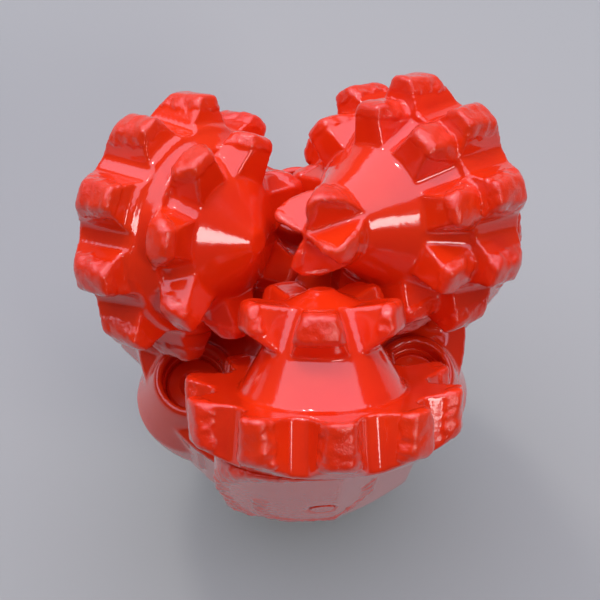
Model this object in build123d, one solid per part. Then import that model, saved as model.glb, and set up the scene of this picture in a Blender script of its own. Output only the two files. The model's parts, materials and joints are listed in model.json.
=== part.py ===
from build123d import *
import math
import os

# Steel-tooth tricone drill bit standing on its threaded pin, cones up. Millimetres, +Z up.
# The origin is the centre of the pin's nose face, on the bit's own axis.
#
# Each cone is described in its own journal frame: "along" is the distance from the point where
# the journal axis passes the bit axis, outward and down; "radius" is measured from that axis.

os.makedirs("parts", exist_ok=True)

# --- Bit layout ---------------------------------------------------------------------------
BIT_DIAMETER = 250.8            # hole size that the gauge teeth cut
JOURNAL_ANGLE = 33.0            # tilt of each journal axis below horizontal
CONE_OFFSET = 6.2               # sideways shift of each journal axis from the bit axis
CROSSING_HEIGHT = 333.5         # height at which the journal axes pass the bit axis
LEG_AZIMUTHS = (30.0, 150.0, 270.0)
SECTOR_ANGLE = 360.0 / len(LEG_AZIMUTHS)
SEAM_LEAD = 35.0                # a leg's sector starts this far clockwise of its journal
PORT_LEAD = 60.0                # the nozzle port stands this far anticlockwise of its journal

# --- Threaded pin and shank -----------------------------------------------------------------
PIN_LENGTH = 127.0
PIN_BASE_RADIUS = 74.8          # plain cylinder beside the shoulder
PIN_BASE_LENGTH = 13.0
PIN_TAPER = 1.0 / 12.0          # radius lost per length
THREAD_HEIGHT = 3.7             # the tapered part is drawn at the root of the thread
PIN_NOSE_CHAMFER = 4.0
SHANK_RADIUS = 97.0
SHOULDER_BEVEL = 4.0
SHANK_TOP = 152.0
FLARE_RADIUS = 113.0
FLARE_TOP = 184.0
LEG_RADIUS = 121.5              # outer face of the legs, just under gauge
LEG_FACE_BOTTOM = 213.0
WATERWAY_RADIUS = 38.0
WATERWAY_TOP = 178.0
DOME_EDGE_RADIUS = 100.0
DOME_EDGE_HEIGHT = 205.0
DOME_CENTRE_HEIGHT = 212.0

# --- Leg arms ---------------------------------------------------------------------------
CONE_BACK = 108.0               # along the journal axis
LEG_GAP = 0.5                   # between a cone's back face and its leg
SHIRTTAIL_RADIUS = 58.5
ARM_HALF_WIDTH = 54.0
ARM_BOTTOM = 150.0
ARM_ROOT_RADIUS = 62.0          # inner side of the arm, measured from the bit axis

# --- Nozzle ports -------------------------------------------------------------------------
PORT_CIRCLE = 75.0
PORT_TOP = 221.0
PORT_MOUTH_RADIUS = 18.5
PORT_RIM_RADIUS = 23.5
PORT_BASE_RADIUS = 36.0
PORT_BASE_HEIGHT = 184.0
NOZZLE_RADIUS = 16.7
NOZZLE_LENGTH = 27.0
NOZZLE_FACE_DEPTH = 14.0
NOZZLE_ORIFICE_RADIUS = 5.6
NOZZLE_INLET_RADIUS = 12.0
NOZZLE_CLEARANCE = 0.1
SNAP_RING_WIRE = 2.6
SNAP_RING_GROOVE = 1.4          # depth of the groove in the port wall
NOZZLE_SEAL_WIRE = 3.6
PASSAGE_RADIUS = 11.0

# --- Journal bearing ------------------------------------------------------------------------
JOURNAL_RADIUS = 31.0
RUNNING_CLEARANCE = 0.08
BUSH_WALL = 3.0
BUSH_END_PLAY = 0.3
BUSH_SHOULDER = 2.0             # metal between the bush and the seal gland
THRUST_FACE = 78.0              # along: end of the main journal
THRUST_WASHER = 1.9
THRUST_CLEARANCE = 0.05
NECK_RADIUS = 24.3
NECK_CLEARANCE = 0.4
RACE_CENTRE = 68.0
BALL_DIAMETER = 12.7
BALL_CIRCLE = 24.5
BALL_COUNT = 11
BALL_CLEARANCE = 0.3
PILOT_SHOULDER = 60.0
PILOT_RADIUS = 15.0
PILOT_END = 47.0
PILOT_BUSH_WALL = 2.5
PILOT_END_GAP = 1.0
SEAL_SECTION = 4.9
SEAL_GLAND_LENGTH = 6.0
CONE_LIP = 2.5                  # metal between the seal gland and the cone's back face
LIP_CLEARANCE = 0.6
BALL_HOLE_CLEARANCE = 0.3
BALL_HOLE_TILT = 7.0            # slope of the ball hole from the journal axis
PLUG_CLEARANCE = 0.1

# --- Grease reservoir -----------------------------------------------------------------------
RESERVOIR_TILT = 24.0           # rise of its bore above horizontal, going inward
RESERVOIR_HEIGHT = 186.0        # centre of its mouth
RESERVOIR_FACE_RADIUS = 110.5
RESERVOIR_BORE_RADIUS = 17.0
RESERVOIR_DEPTH = 38.0
RESERVOIR_FLOOR_RADIUS = 9.0
COUNTERBORE_RADIUS = 20.0
COUNTERBORE_DEPTH = 9.0
CUP_WALL = 1.8
DIAPHRAGM_WALL = 1.5
FIT_CLEARANCE = 0.1
CAP_THICKNESS = 5.5
CAP_RING_WIRE = 2.0
CAP_SEAL_WIRE = 2.2
GREASE_HOLE_RADIUS = 3.0

# --- Weld seams between the legs ------------------------------------------------------------
WELD_HALF_WIDTH = 6.0
WELD_DEPTH = 9.0
WELD_CROWN = 0.9

# --- Teeth ------------------------------------------------------------------------------
GAUGE_CREST_RADIUS = 74.3       # outer end of the gauge crest
GAUGE_CREST_LENGTH = 24.0
GAUGE_TOOTH_COUNT = 10
GAUGE_ROOT_INNER = 57.5
GAUGE_ROOT_OUTER = 61.5
GROOVE_FILLET = 4.0


def swept_gauge(along, radius):
    """Largest distance from the bit axis that a point of a cone reaches in one turn."""
    tilt = math.radians(JOURNAL_ANGLE)
    reach = 0.0
    for step in range(91):
        turn = math.radians(step)
        outward = along * math.cos(tilt) + radius * math.cos(turn) * math.sin(tilt)
        reach = max(reach, math.hypot(outward, CONE_OFFSET + radius * math.sin(turn)))
    return reach


def gauge_station():
    """Place along the journal where the gauge crest just touches the wall of the hole."""
    low = 0.0
    high = BIT_DIAMETER
    while high - low > 0.001:
        middle = (low + high) / 2.0
        if swept_gauge(middle, GAUGE_CREST_RADIUS) < BIT_DIAMETER / 2.0:
            low = middle
        else:
            high = middle
    return low


GAUGE_ALONG = gauge_station()
GAUGE_INNER = GAUGE_ALONG - GAUGE_CREST_LENGTH
HEEL_SLOPE = 1.0 / math.tan(math.radians(JOURNAL_ANGLE))
HEEL_RADIUS = GAUGE_CREST_RADIUS - (CONE_BACK - GAUGE_ALONG) * HEEL_SLOPE


def journal_plane(azimuth):
    """Frame of one journal: z along the journal, outward and down; x up and outward."""
    spin = math.radians(azimuth)
    tilt = math.radians(JOURNAL_ANGLE)
    radial = Vector(math.cos(spin), math.sin(spin), 0)
    sideways = Vector(-math.sin(spin), math.cos(spin), 0)
    along = radial * math.cos(tilt) - Vector(0, 0, 1) * math.sin(tilt)
    across = radial * math.sin(tilt) + Vector(0, 0, 1) * math.cos(tilt)
    origin = sideways * CONE_OFFSET + Vector(0, 0, CROSSING_HEIGHT)
    return Plane(origin=origin, x_dir=across, z_dir=along)


def turned(*points):
    """Solid of revolution about local Z from (radius, along) points."""
    outline = make_face(Polyline(*points, close=True))
    return revolve(Plane.XZ * outline, Axis.Z)


def disc(radius, start, end):
    """Cylinder on local Z between two stations."""
    return Pos(0, 0, (start + end) / 2.0) * Cylinder(radius, abs(end - start))


def ring(outer, inner, start, end):
    """Tube on local Z between two stations."""
    return disc(outer, start, end) - disc(inner, start, end)


def wire_ring(circle_radius, wire, height):
    """Ring of round wire about local Z, named by the circle through the wire's middle."""
    return Pos(0, 0, height) * Torus(circle_radius, wire / 2.0)


# --- Cones ------------------------------------------------------------------------------


class ToothRow:
    """A ring of milled teeth: how many, the first tooth's angle, its crest and its root."""

    def __init__(self, count, first_angle, crest, root, crest_width, root_gap):
        self.count = count
        self.first_angle = first_angle
        self.crest = crest
        self.root = root
        self.crest_width = crest_width
        self.root_gap = root_gap

    def groove(self):
        """Cutter for one tooth space: a V with a rounded floor, running along the root line."""
        (start, low), (end, high) = self.root
        length = math.hypot(end - start, high - low)
        slope = math.degrees(math.atan2(high - low, end - start))
        crest_radius = max(self.crest[0][1], self.crest[1][1])
        depth = crest_radius - min(low, high)
        mouth = 2.0 * crest_radius * math.sin(math.pi / self.count) - self.crest_width
        flank = (mouth - self.root_gap) / 2.0 / depth
        rise = depth * 1.3
        half_floor = self.root_gap / 2.0
        half_top = half_floor + flank * rise
        section = make_face(Polyline((0, -half_floor), (0, half_floor), (rise, half_top),
                                     (rise, -half_top), close=True))
        floor_corners = section.vertices().sort_by(Axis.X)[:2]
        section = fillet(floor_corners, min(GROOVE_FILLET, half_floor * 0.9))
        cutter = extrude(section, length)
        return Pos(low, 0, start) * Rot(0, slope, 0) * cutter

    def grooves(self):
        """All the tooth spaces, each midway between two teeth."""
        pitch = 360.0 / self.count
        one = self.groove()
        return [Rot(0, 0, -self.first_angle + pitch * (number + 0.5)) * one for number in range(self.count)]


def gauge_row(first_angle):
    """The outer ring of teeth, the same on all three cones but for where it starts."""
    beyond = 8.0
    crest = ((GAUGE_INNER, GAUGE_CREST_RADIUS), (GAUGE_ALONG, GAUGE_CREST_RADIUS))
    slope = (GAUGE_ROOT_OUTER - GAUGE_ROOT_INNER) / (CONE_BACK - GAUGE_INNER)
    root = ((GAUGE_INNER - beyond, GAUGE_ROOT_INNER - beyond * slope),
            (CONE_BACK + beyond, GAUGE_ROOT_OUTER + beyond * slope))
    return ToothRow(GAUGE_TOOTH_COUNT, first_angle, crest, root, 9.0, 9.0)


def gauge_outline():
    """Profile of the gauge ring and heel, from the crest's inner end to the back face."""
    return [(GAUGE_CREST_RADIUS + 0.7, GAUGE_INNER), (GAUGE_CREST_RADIUS, GAUGE_ALONG),
            (HEEL_RADIUS, CONE_BACK), (0, CONE_BACK)]


def spear_nose():
    """Three wedge wings meeting at the tip of the first cone."""
    tip = -4.0
    base = 22.0
    radius = 25.0
    core = turned((0, tip + 1.0), (5.0, tip), (21.0, tip + 1.0), (radius, tip + 5.0), (radius, 14.5),
                  (18.5, base), (0, base))
    wings = core
    for number in range(3):
        facet = make_face(Polyline((4.0, 0), (30, -25.5), (44, 0), (30, 25.5), close=True))
        scoop = Pos(0, 0, tip - 10.0) * extrude(facet, base - tip + 6.0)
        lean = Pos(0, 0, base) * Rot(0, -22.0, 0) * Pos(0, 0, -base)
        wings = wings - Rot(0, 0, 60.0 + 120.0 * number) * lean * scoop
    return wings


def first_cone():
    """Cone with a groove beside its gauge row, a long second row and the spear nose."""
    outline = [(0, 20.0), (17.0, 20.0), (19.5, 23.5), (23.5, 28.5), (30.5, 40.0), (39.5, 52.5),
               (60.0, 51.5), (62.5, 54.0), (63.0, 70.5), (59.0, 72.5), (59.0, GAUGE_INNER - 0.6)]
    blank = turned(*outline, *gauge_outline())
    second = ToothRow(9, 6.0, ((53.0, 62.5), (70.5, 63.0)), ((44.0, 41.5), (72.5, 53.0)), 8.0, 6.0)
    blank = blank - gauge_row(5.0).grooves() - second.grooves()
    return blank + Rot(0, 0, 15.0) * spear_nose()


def second_cone():
    """Cone with a ridge beside its gauge row, one inner row and a smooth blunt nose."""
    outline = [(0, 32.0), (5.5, 32.0), (7.0, 33.0), (33.0, 49.0), (52.0, 44.5), (57.0, 45.5),
               (57.5, 60.0), (47.5, 62.0), (55.0, 69.0), (58.5, 70.5), (59.5, GAUGE_INNER - 0.8)]
    blank = turned(*outline, *gauge_outline())
    inner = ToothRow(7, -14.0, ((45.0, 57.0), (60.0, 57.5)), ((38.0, 34.0), (63.0, 44.5)), 9.0, 7.0)
    return blank - gauge_row(-14.0).grooves() - inner.grooves()


def third_cone():
    """Cone with a wide conical land between its gauge row and five large inner teeth."""
    outline = [(0, 24.0), (7.0, 24.0), (8.5, 25.5), (20.0, 31.0), (38.0, 27.5), (43.0, 29.0),
               (45.0, 42.0), (31.0, 53.5), (45.0, GAUGE_INNER + 4.0)]
    blank = turned(*outline, *gauge_outline())
    inner = ToothRow(5, -5.0, ((29.0, 43.0), (42.0, 45.0)), ((18.0, 15.5), (53.5, 31.0)), 9.0, 6.0)
    return blank - gauge_row(4.0).grooves() - inner.grooves()


BUSH_OUTER = JOURNAL_RADIUS + RUNNING_CLEARANCE + BUSH_WALL
PILOT_BUSH_OUTER = PILOT_RADIUS + RUNNING_CLEARANCE + PILOT_BUSH_WALL
THRUST_SEAT = THRUST_FACE - THRUST_CLEARANCE - THRUST_WASHER
GLAND_END = CONE_BACK - CONE_LIP
GLAND_START = GLAND_END - SEAL_GLAND_LENGTH
GLAND_RADIUS = JOURNAL_RADIUS + RUNNING_CLEARANCE + SEAL_SECTION


def bearing_bore():
    """Everything that is bored out of a cone for its bearing and seal."""
    lip_radius = JOURNAL_RADIUS + LIP_CLEARANCE
    neck_bore = NECK_RADIUS + NECK_CLEARANCE
    stepped = turned((0, PILOT_END - PILOT_END_GAP), (PILOT_BUSH_OUTER, PILOT_END - PILOT_END_GAP),
                     (PILOT_BUSH_OUTER, PILOT_SHOULDER - 0.5), (neck_bore, PILOT_SHOULDER - 0.5),
                     (neck_bore, THRUST_SEAT), (BUSH_OUTER, THRUST_SEAT),
                     (BUSH_OUTER, GLAND_START - BUSH_SHOULDER), (lip_radius, GLAND_START - BUSH_SHOULDER),
                     (lip_radius, CONE_BACK + 1.0), (0, CONE_BACK + 1.0))
    gland = disc(GLAND_RADIUS, GLAND_START, GLAND_END)
    race = Pos(0, 0, RACE_CENTRE) * Torus(BALL_CIRCLE, BALL_DIAMETER / 2.0 + BALL_CLEARANCE)
    return stepped + gland + race


def journal_bush():
    """Bearing sleeve pressed into the cone's main bore."""
    return ring(BUSH_OUTER, JOURNAL_RADIUS + RUNNING_CLEARANCE, THRUST_FACE + BUSH_END_PLAY,
                GLAND_START - BUSH_SHOULDER - BUSH_END_PLAY)


def pilot_bush():
    """Bearing sleeve in the cone's nose bore."""
    return ring(PILOT_BUSH_OUTER, PILOT_RADIUS + RUNNING_CLEARANCE, PILOT_END, PILOT_SHOULDER - 0.7)


def thrust_washer():
    """Flat ring that takes the cone's end load on the journal's thrust face."""
    return ring(BUSH_OUTER - FIT_CLEARANCE, NECK_RADIUS + NECK_CLEARANCE, THRUST_SEAT,
                THRUST_SEAT + THRUST_WASHER)


def retention_balls():
    """The ring of balls that locks the cone onto its journal."""
    pitch = 360.0 / BALL_COUNT
    one = Pos(BALL_CIRCLE, 0, RACE_CENTRE) * Sphere(BALL_DIAMETER / 2.0)
    return Compound(children=[Rot(0, 0, pitch * number) * one for number in range(BALL_COUNT)])


def cone_seal():
    """O-ring that keeps the grease in, carried in the cone's gland."""
    middle = JOURNAL_RADIUS + RUNNING_CLEARANCE + SEAL_SECTION / 2.0
    return wire_ring(middle, SEAL_SECTION, (GLAND_START + GLAND_END) / 2.0)


# --- Legs -------------------------------------------------------------------------------


def journal():
    """Bearing journal, ball race neck and pilot pin, in one turned piece with its leg."""
    into_leg = CONE_BACK + 6.0
    post = turned((0, PILOT_END), (PILOT_RADIUS - 1.0, PILOT_END), (PILOT_RADIUS, PILOT_END + 1.0),
                  (PILOT_RADIUS, PILOT_SHOULDER), (NECK_RADIUS, PILOT_SHOULDER),
                  (NECK_RADIUS, THRUST_FACE), (JOURNAL_RADIUS - 1.0, THRUST_FACE),
                  (JOURNAL_RADIUS, THRUST_FACE + 1.0), (JOURNAL_RADIUS, into_leg), (0, into_leg))
    race = Pos(0, 0, RACE_CENTRE) * Torus(BALL_CIRCLE, BALL_DIAMETER / 2.0 + BALL_CLEARANCE)
    return post - race


def ball_hole(radius, start, end):
    """Cylinder along the inclined hole through which the balls go in."""
    race_point = Pos(-(BALL_CIRCLE - 5.5), 0, RACE_CENTRE)
    return race_point * Rot(0, BALL_HOLE_TILT, 0) * disc(radius, start, end)


def envelope():
    """Outer limit of shank, flare and legs, as turned."""
    top = CROSSING_HEIGHT + SHIRTTAIL_RADIUS
    return turned((0, PIN_LENGTH), (SHANK_RADIUS - SHOULDER_BEVEL, PIN_LENGTH),
                  (SHANK_RADIUS, PIN_LENGTH + SHOULDER_BEVEL), (SHANK_RADIUS, SHANK_TOP),
                  (FLARE_RADIUS, FLARE_TOP), (LEG_RADIUS, LEG_FACE_BOTTOM), (LEG_RADIUS, top), (0, top))


def pin():
    """Tapered pin below the shoulder, at the root of its thread, with the plain base."""
    base_bottom = PIN_LENGTH - PIN_BASE_LENGTH
    root_top = PIN_BASE_RADIUS + THREAD_HEIGHT / 3.0 - THREAD_HEIGHT
    root_bottom = root_top - base_bottom * PIN_TAPER
    return turned((0, 0), (root_bottom - PIN_NOSE_CHAMFER, 0), (root_bottom, PIN_NOSE_CHAMFER),
                  (root_top, base_bottom), (PIN_BASE_RADIUS, base_bottom),
                  (PIN_BASE_RADIUS, PIN_LENGTH), (0, PIN_LENGTH))


def body_core():
    """Shank and dome that the three legs share, before it is split."""
    dome = turned((0, PIN_LENGTH), (DOME_EDGE_RADIUS, PIN_LENGTH), (DOME_EDGE_RADIUS, DOME_EDGE_HEIGHT),
                  (DOME_EDGE_RADIUS - 12.0, DOME_CENTRE_HEIGHT), (0, DOME_CENTRE_HEIGHT))
    return dome


def port_boss():
    """Tapered boss round one nozzle port, on local Z."""
    return turned((0, ARM_BOTTOM), (PORT_BASE_RADIUS, ARM_BOTTOM), (PORT_BASE_RADIUS, PORT_BASE_HEIGHT),
                  (PORT_RIM_RADIUS, PORT_TOP - 1.5), (PORT_RIM_RADIUS - 1.5, PORT_TOP), (0, PORT_TOP))


def port_position(azimuth):
    """Place of the port that belongs to the leg at this azimuth."""
    return Rot(0, 0, azimuth + PORT_LEAD) * Pos(PORT_CIRCLE, 0, 0)


NOZZLE_TOP = PORT_TOP - NOZZLE_FACE_DEPTH
NOZZLE_BOTTOM = NOZZLE_TOP - NOZZLE_LENGTH
SOCKET_RADIUS = NOZZLE_RADIUS + NOZZLE_CLEARANCE
SNAP_RING_HEIGHT = NOZZLE_TOP + SNAP_RING_WIRE / 2.0 + 0.1
NOZZLE_SEAL_HEIGHT = NOZZLE_BOTTOM + 8.0


def port_bore():
    """Socket of one nozzle, with its snap ring groove and seal groove, on local Z."""
    groove = Pos(0, 0, SNAP_RING_HEIGHT) * Cylinder(PORT_MOUTH_RADIUS + SNAP_RING_GROOVE, SNAP_RING_WIRE + 0.2)
    seal_groove = Pos(0, 0, NOZZLE_SEAL_HEIGHT) * Cylinder(SOCKET_RADIUS + NOZZLE_SEAL_WIRE - 0.6,
                                                           NOZZLE_SEAL_WIRE + 0.4)
    mouth = disc(PORT_MOUTH_RADIUS, NOZZLE_TOP, PORT_TOP + 1.0)
    socket = disc(SOCKET_RADIUS, NOZZLE_BOTTOM, NOZZLE_TOP)
    inlet = disc(NOZZLE_INLET_RADIUS, NOZZLE_BOTTOM - 6.0, NOZZLE_BOTTOM)
    return mouth + socket + inlet + groove + seal_groove


def passage():
    """Drilled way from the waterway to the inlet of one nozzle, in the port's radial plane."""
    low = Vector(WATERWAY_RADIUS - 12.0, 0, WATERWAY_TOP - 30.0)
    high = Vector(PORT_CIRCLE, 0, NOZZLE_BOTTOM - 5.0)
    run = high - low
    start = Plane(origin=low, z_dir=run)
    return start * disc(PASSAGE_RADIUS, 0, run.length) + Pos(high) * Sphere(PASSAGE_RADIUS)


def jet_nozzle():
    """Carbide nozzle with a rounded inlet that narrows to the orifice."""
    throat = NOZZLE_TOP - 7.0
    return turned((NOZZLE_INLET_RADIUS, NOZZLE_BOTTOM), (NOZZLE_RADIUS, NOZZLE_BOTTOM),
                  (NOZZLE_RADIUS, NOZZLE_TOP - 1.5), (NOZZLE_RADIUS - 1.5, NOZZLE_TOP),
                  (NOZZLE_ORIFICE_RADIUS + 3.5, NOZZLE_TOP), (NOZZLE_ORIFICE_RADIUS, NOZZLE_TOP - 3.0),
                  (NOZZLE_ORIFICE_RADIUS, throat), (NOZZLE_INLET_RADIUS - 1.5, NOZZLE_BOTTOM + 6.0))


def nozzle_seal():
    """O-ring in the port's wall round the nozzle."""
    return wire_ring(SOCKET_RADIUS + NOZZLE_SEAL_WIRE / 2.0 - 0.1 - 0.6, NOZZLE_SEAL_WIRE - 1.4,
                     NOZZLE_SEAL_HEIGHT)


def split_ring(circle_radius, wire, height, gap_angle):
    """Snap ring of round wire with a gap."""
    whole = wire_ring(circle_radius, wire, height)
    reach = circle_radius * 2.0
    spread = reach * math.tan(math.radians(gap_angle / 2.0))
    gap = make_face(Polyline((0, 0), (reach, -spread), (reach, spread), close=True))
    return whole - Pos(0, 0, height - wire) * extrude(gap, 2.0 * wire)


def nozzle_snap_ring():
    """Ring that holds the nozzle down in its socket."""
    return split_ring(PORT_MOUTH_RADIUS + SNAP_RING_GROOVE - SNAP_RING_WIRE / 2.0, SNAP_RING_WIRE,
                      SNAP_RING_HEIGHT, 40.0)


def leg_arm():
    """Outline of one arm in the journal's azimuth: round shirttail above, straight sides below."""
    tilt = math.radians(JOURNAL_ANGLE)
    centre_height = CROSSING_HEIGHT - LEG_RADIUS * math.tan(tilt)
    slab_top = centre_height + 4.0
    slab_length = LEG_RADIUS + 10.0 - ARM_ROOT_RADIUS
    slab = Pos(ARM_ROOT_RADIUS + slab_length / 2.0, CONE_OFFSET, (ARM_BOTTOM + slab_top) / 2.0)
    return slab * Box(slab_length, 2.0 * ARM_HALF_WIDTH, slab_top - ARM_BOTTOM)


def reservoir_plane():
    """Mouth of the grease reservoir on the leg's lower outer face; z points out of the bore."""
    tilt = math.radians(RESERVOIR_TILT)
    origin = Vector(RESERVOIR_FACE_RADIUS, CONE_OFFSET, RESERVOIR_HEIGHT)
    outward = Vector(math.cos(tilt), 0, -math.sin(tilt))
    return Plane(origin=origin, x_dir=Vector(0, 1, 0), z_dir=outward)


CAP_BOTTOM = -COUNTERBORE_DEPTH
CAP_TOP = CAP_BOTTOM + CAP_THICKNESS
CAP_RING_HEIGHT = CAP_TOP + CAP_RING_WIRE / 2.0 + 0.05
RESERVOIR_END = CAP_BOTTOM - RESERVOIR_DEPTH + COUNTERBORE_DEPTH
CUP_FLANGE = 2.5


def reservoir_bore():
    """Bore, counterbore and ring groove of the reservoir, on the mouth plane's z."""
    groove = Pos(0, 0, CAP_RING_HEIGHT) * Cylinder(COUNTERBORE_RADIUS + 1.0, CAP_RING_WIRE + 0.2)
    bore = disc(RESERVOIR_BORE_RADIUS, RESERVOIR_END, CAP_BOTTOM)
    clear_way = disc(COUNTERBORE_RADIUS, CAP_BOTTOM, COUNTERBORE_DEPTH * 3.0)
    spot_face = disc(COUNTERBORE_RADIUS + 4.0, 0, COUNTERBORE_DEPTH * 3.0)
    return bore + clear_way + spot_face + groove


def reservoir_cup():
    """Thin steel canister that lines the reservoir bore, with a vent in its floor."""
    outer = RESERVOIR_BORE_RADIUS - FIT_CLEARANCE
    top = CAP_BOTTOM - CUP_FLANGE
    shell = turned((3.0, RESERVOIR_END), (outer, RESERVOIR_END), (outer, top), (outer - CUP_WALL, top),
                   (outer - CUP_WALL, RESERVOIR_END + CUP_WALL), (3.0, RESERVOIR_END + CUP_WALL))
    return shell


def diaphragm():
    """Rubber bellows cup between the grease and the drilling mud, clamped under the cap."""
    outer = RESERVOIR_BORE_RADIUS - FIT_CLEARANCE
    inside = outer - CUP_WALL - 1.2
    top = CAP_BOTTOM - CUP_FLANGE
    floor = RESERVOIR_END + RESERVOIR_DEPTH * 0.45
    return turned((0, floor), (inside - 3.0, floor), (inside, floor + 4.0), (inside, top), (outer, top),
                  (outer, CAP_BOTTOM), (inside - DIAPHRAGM_WALL, CAP_BOTTOM),
                  (inside - DIAPHRAGM_WALL, floor + 4.0 + DIAPHRAGM_WALL),
                  (inside - 3.0 - DIAPHRAGM_WALL, floor + DIAPHRAGM_WALL), (0, floor + DIAPHRAGM_WALL))


def reservoir_cap():
    """Cap with a vent hole, a seal groove round its edge and two wrench pits."""
    outer = COUNTERBORE_RADIUS - FIT_CLEARANCE
    plate = ring(outer, 3.0, CAP_BOTTOM, CAP_TOP)
    seal_height = CAP_BOTTOM + CAP_THICKNESS * 0.45
    plate = plate - ring(outer + 1.0, outer - CAP_SEAL_WIRE, seal_height - CAP_SEAL_WIRE / 2.0 - FIT_CLEARANCE,
                         seal_height + CAP_SEAL_WIRE / 2.0 + FIT_CLEARANCE)
    for side in (-1, 1):
        plate = plate - Pos(side * outer * 0.55, 0, CAP_TOP) * Cylinder(2.5, 4.0)
    return plate


def cap_seal():
    """O-ring round the cap."""
    seal_height = CAP_BOTTOM + CAP_THICKNESS * 0.45
    outer = COUNTERBORE_RADIUS - FIT_CLEARANCE
    return wire_ring(outer - CAP_SEAL_WIRE / 2.0, CAP_SEAL_WIRE, seal_height)


def cap_snap_ring():
    """Ring that holds the cap in."""
    return split_ring(COUNTERBORE_RADIUS + 1.0 - CAP_RING_WIRE / 2.0, CAP_RING_WIRE, CAP_RING_HEIGHT, 36.0)


def grease_hole():
    """Drilled way from the reservoir floor to the ball hole."""
    mouth = reservoir_plane()
    low = mouth.from_local_coords(Vector(0, 0, RESERVOIR_END + 2.0))
    tilt = math.radians(JOURNAL_ANGLE)
    along = CONE_BACK + 9.0
    high = Vector(along * math.cos(tilt), CONE_OFFSET, CROSSING_HEIGHT - along * math.sin(tilt))
    run = high - low
    return Plane(origin=low, z_dir=run) * disc(GREASE_HOLE_RADIUS, 0, run.length)


def sector():
    """Third of the body that one leg keeps, with its journal at azimuth 0."""
    reach = 2.0 * BIT_DIAMETER
    start = math.radians(-SEAM_LEAD)
    end = math.radians(SECTOR_ANGLE - SEAM_LEAD)
    middle = (start + end) / 2.0
    far = reach / math.cos(math.radians(SECTOR_ANGLE / 4.0))
    corners = [(0, 0)]
    for angle in (start, middle, end):
        corners.append((far * math.cos(angle), far * math.sin(angle)))
    return extrude(make_face(Polyline(*corners, close=True)), CROSSING_HEIGHT + BIT_DIAMETER)


def weld_groove():
    """V-shaped strip along the seam at azimuth 0, which one weld bead fills."""
    root = SHANK_RADIUS - WELD_DEPTH
    reach = 60.0
    spread = WELD_HALF_WIDTH * reach / WELD_DEPTH
    wedge = make_face(Polyline((root, 0), (root + reach, -spread), (root + reach, spread), close=True))
    return Pos(0, 0, PIN_LENGTH + SHOULDER_BEVEL) * extrude(wedge, DOME_EDGE_HEIGHT - PIN_LENGTH - 2.0 * SHOULDER_BEVEL)


def weld_seam():
    """Bead in the groove at azimuth 0, standing a little proud of the shank."""
    radius = SHANK_RADIUS + WELD_CROWN
    crown = turned((0, PIN_LENGTH), (radius, PIN_LENGTH), (radius, DOME_EDGE_HEIGHT), (0, DOME_EDGE_HEIGHT))
    return weld_groove() & crown


def leg_blank():
    """Leg at azimuth 0, with everything but its drilled holes and seam groove."""
    frame = journal_plane(0)
    behind = frame * disc(400.0, CONE_BACK + LEG_GAP, CONE_BACK + 500.0)
    shirttail = frame * disc(SHIRTTAIL_RADIUS, CONE_BACK + LEG_GAP, CONE_BACK + 60.0)
    arm = (leg_arm() & behind) + shirttail
    port = port_position(0) * port_boss()
    solid = (arm + body_core() + port) & envelope()
    solid = (solid + pin()) & sector()
    return solid + frame * journal()


def waterway():
    """Central bore from the pin's nose to under the dome, with a coned end."""
    return turned((0, -1.0), (WATERWAY_RADIUS, -1.0), (WATERWAY_RADIUS, WATERWAY_TOP - 14.0),
                  (WATERWAY_RADIUS - 14.0, WATERWAY_TOP), (0, WATERWAY_TOP))


def leg():
    """One finished leg at azimuth 0."""
    frame = journal_plane(0)
    body = leg_blank()
    body = body - waterway()
    body = body - port_position(0) * port_bore()
    body = body - Rot(0, 0, PORT_LEAD) * passage()
    body = body - reservoir_plane() * reservoir_bore()
    body = body - grease_hole()
    body = body - frame * ball_hole(BALL_DIAMETER / 2.0 + BALL_HOLE_CLEARANCE, -2.0, 120.0)
    for seam in (-SEAM_LEAD, SECTOR_ANGLE - SEAM_LEAD):
        body = body - Rot(0, 0, seam) * weld_groove()
    return body


def ball_plug():
    """Rod that closes the ball hole and backs the race, flush with the leg's outer face."""
    radius = BALL_DIAMETER / 2.0 + BALL_HOLE_CLEARANCE - PLUG_CLEARANCE
    rod = journal_plane(0) * ball_hole(radius, 0.0, 100.0)
    race = journal_plane(0) * (Pos(0, 0, RACE_CENTRE) * Torus(BALL_CIRCLE, BALL_DIAMETER / 2.0 + BALL_CLEARANCE))
    neck_wall = journal_plane(0) * ring(CONE_BACK, NECK_RADIUS - PLUG_CLEARANCE, PILOT_SHOULDER, THRUST_FACE)
    return (rod - race - neck_wall) & envelope()


def write(name, shape, colour):
    """Write one node's STEP file."""
    shape.label = name
    shape.color = Color(colour)
    export_step(shape, "parts/" + name + ".step")


def write_station(number, azimuth, cone_shape):
    """Write every piece that belongs to one leg."""
    frame = journal_plane(azimuth)
    turn = Rot(0, 0, azimuth)
    port = port_position(azimuth)
    mouth = turn * reservoir_plane().location
    tag = "_" + str(number)
    write("cone" + tag, frame * (cone_shape - bearing_bore()), "red")
    write("journal_bush" + tag, frame * journal_bush(), "gold")
    write("pilot_bush" + tag, frame * pilot_bush(), "gold")
    write("thrust_washer" + tag, frame * thrust_washer(), "silver")
    write("retention_balls" + tag, frame * retention_balls(), "gray")
    write("cone_seal" + tag, frame * cone_seal(), "black")
    write("ball_plug" + tag, turn * ball_plug(), "gray")
    write("jet_nozzle" + tag, port * jet_nozzle(), "gray")
    write("nozzle_seal" + tag, port * nozzle_seal(), "black")
    write("nozzle_snap_ring" + tag, port * nozzle_snap_ring(), "gray")
    write("reservoir_cup" + tag, mouth * reservoir_cup(), "silver")
    write("diaphragm" + tag, mouth * diaphragm(), "black")
    write("reservoir_cap" + tag, mouth * reservoir_cap(), "gray")
    write("cap_seal" + tag, mouth * cap_seal(), "black")
    write("cap_snap_ring" + tag, mouth * cap_snap_ring(), "gray")


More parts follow.
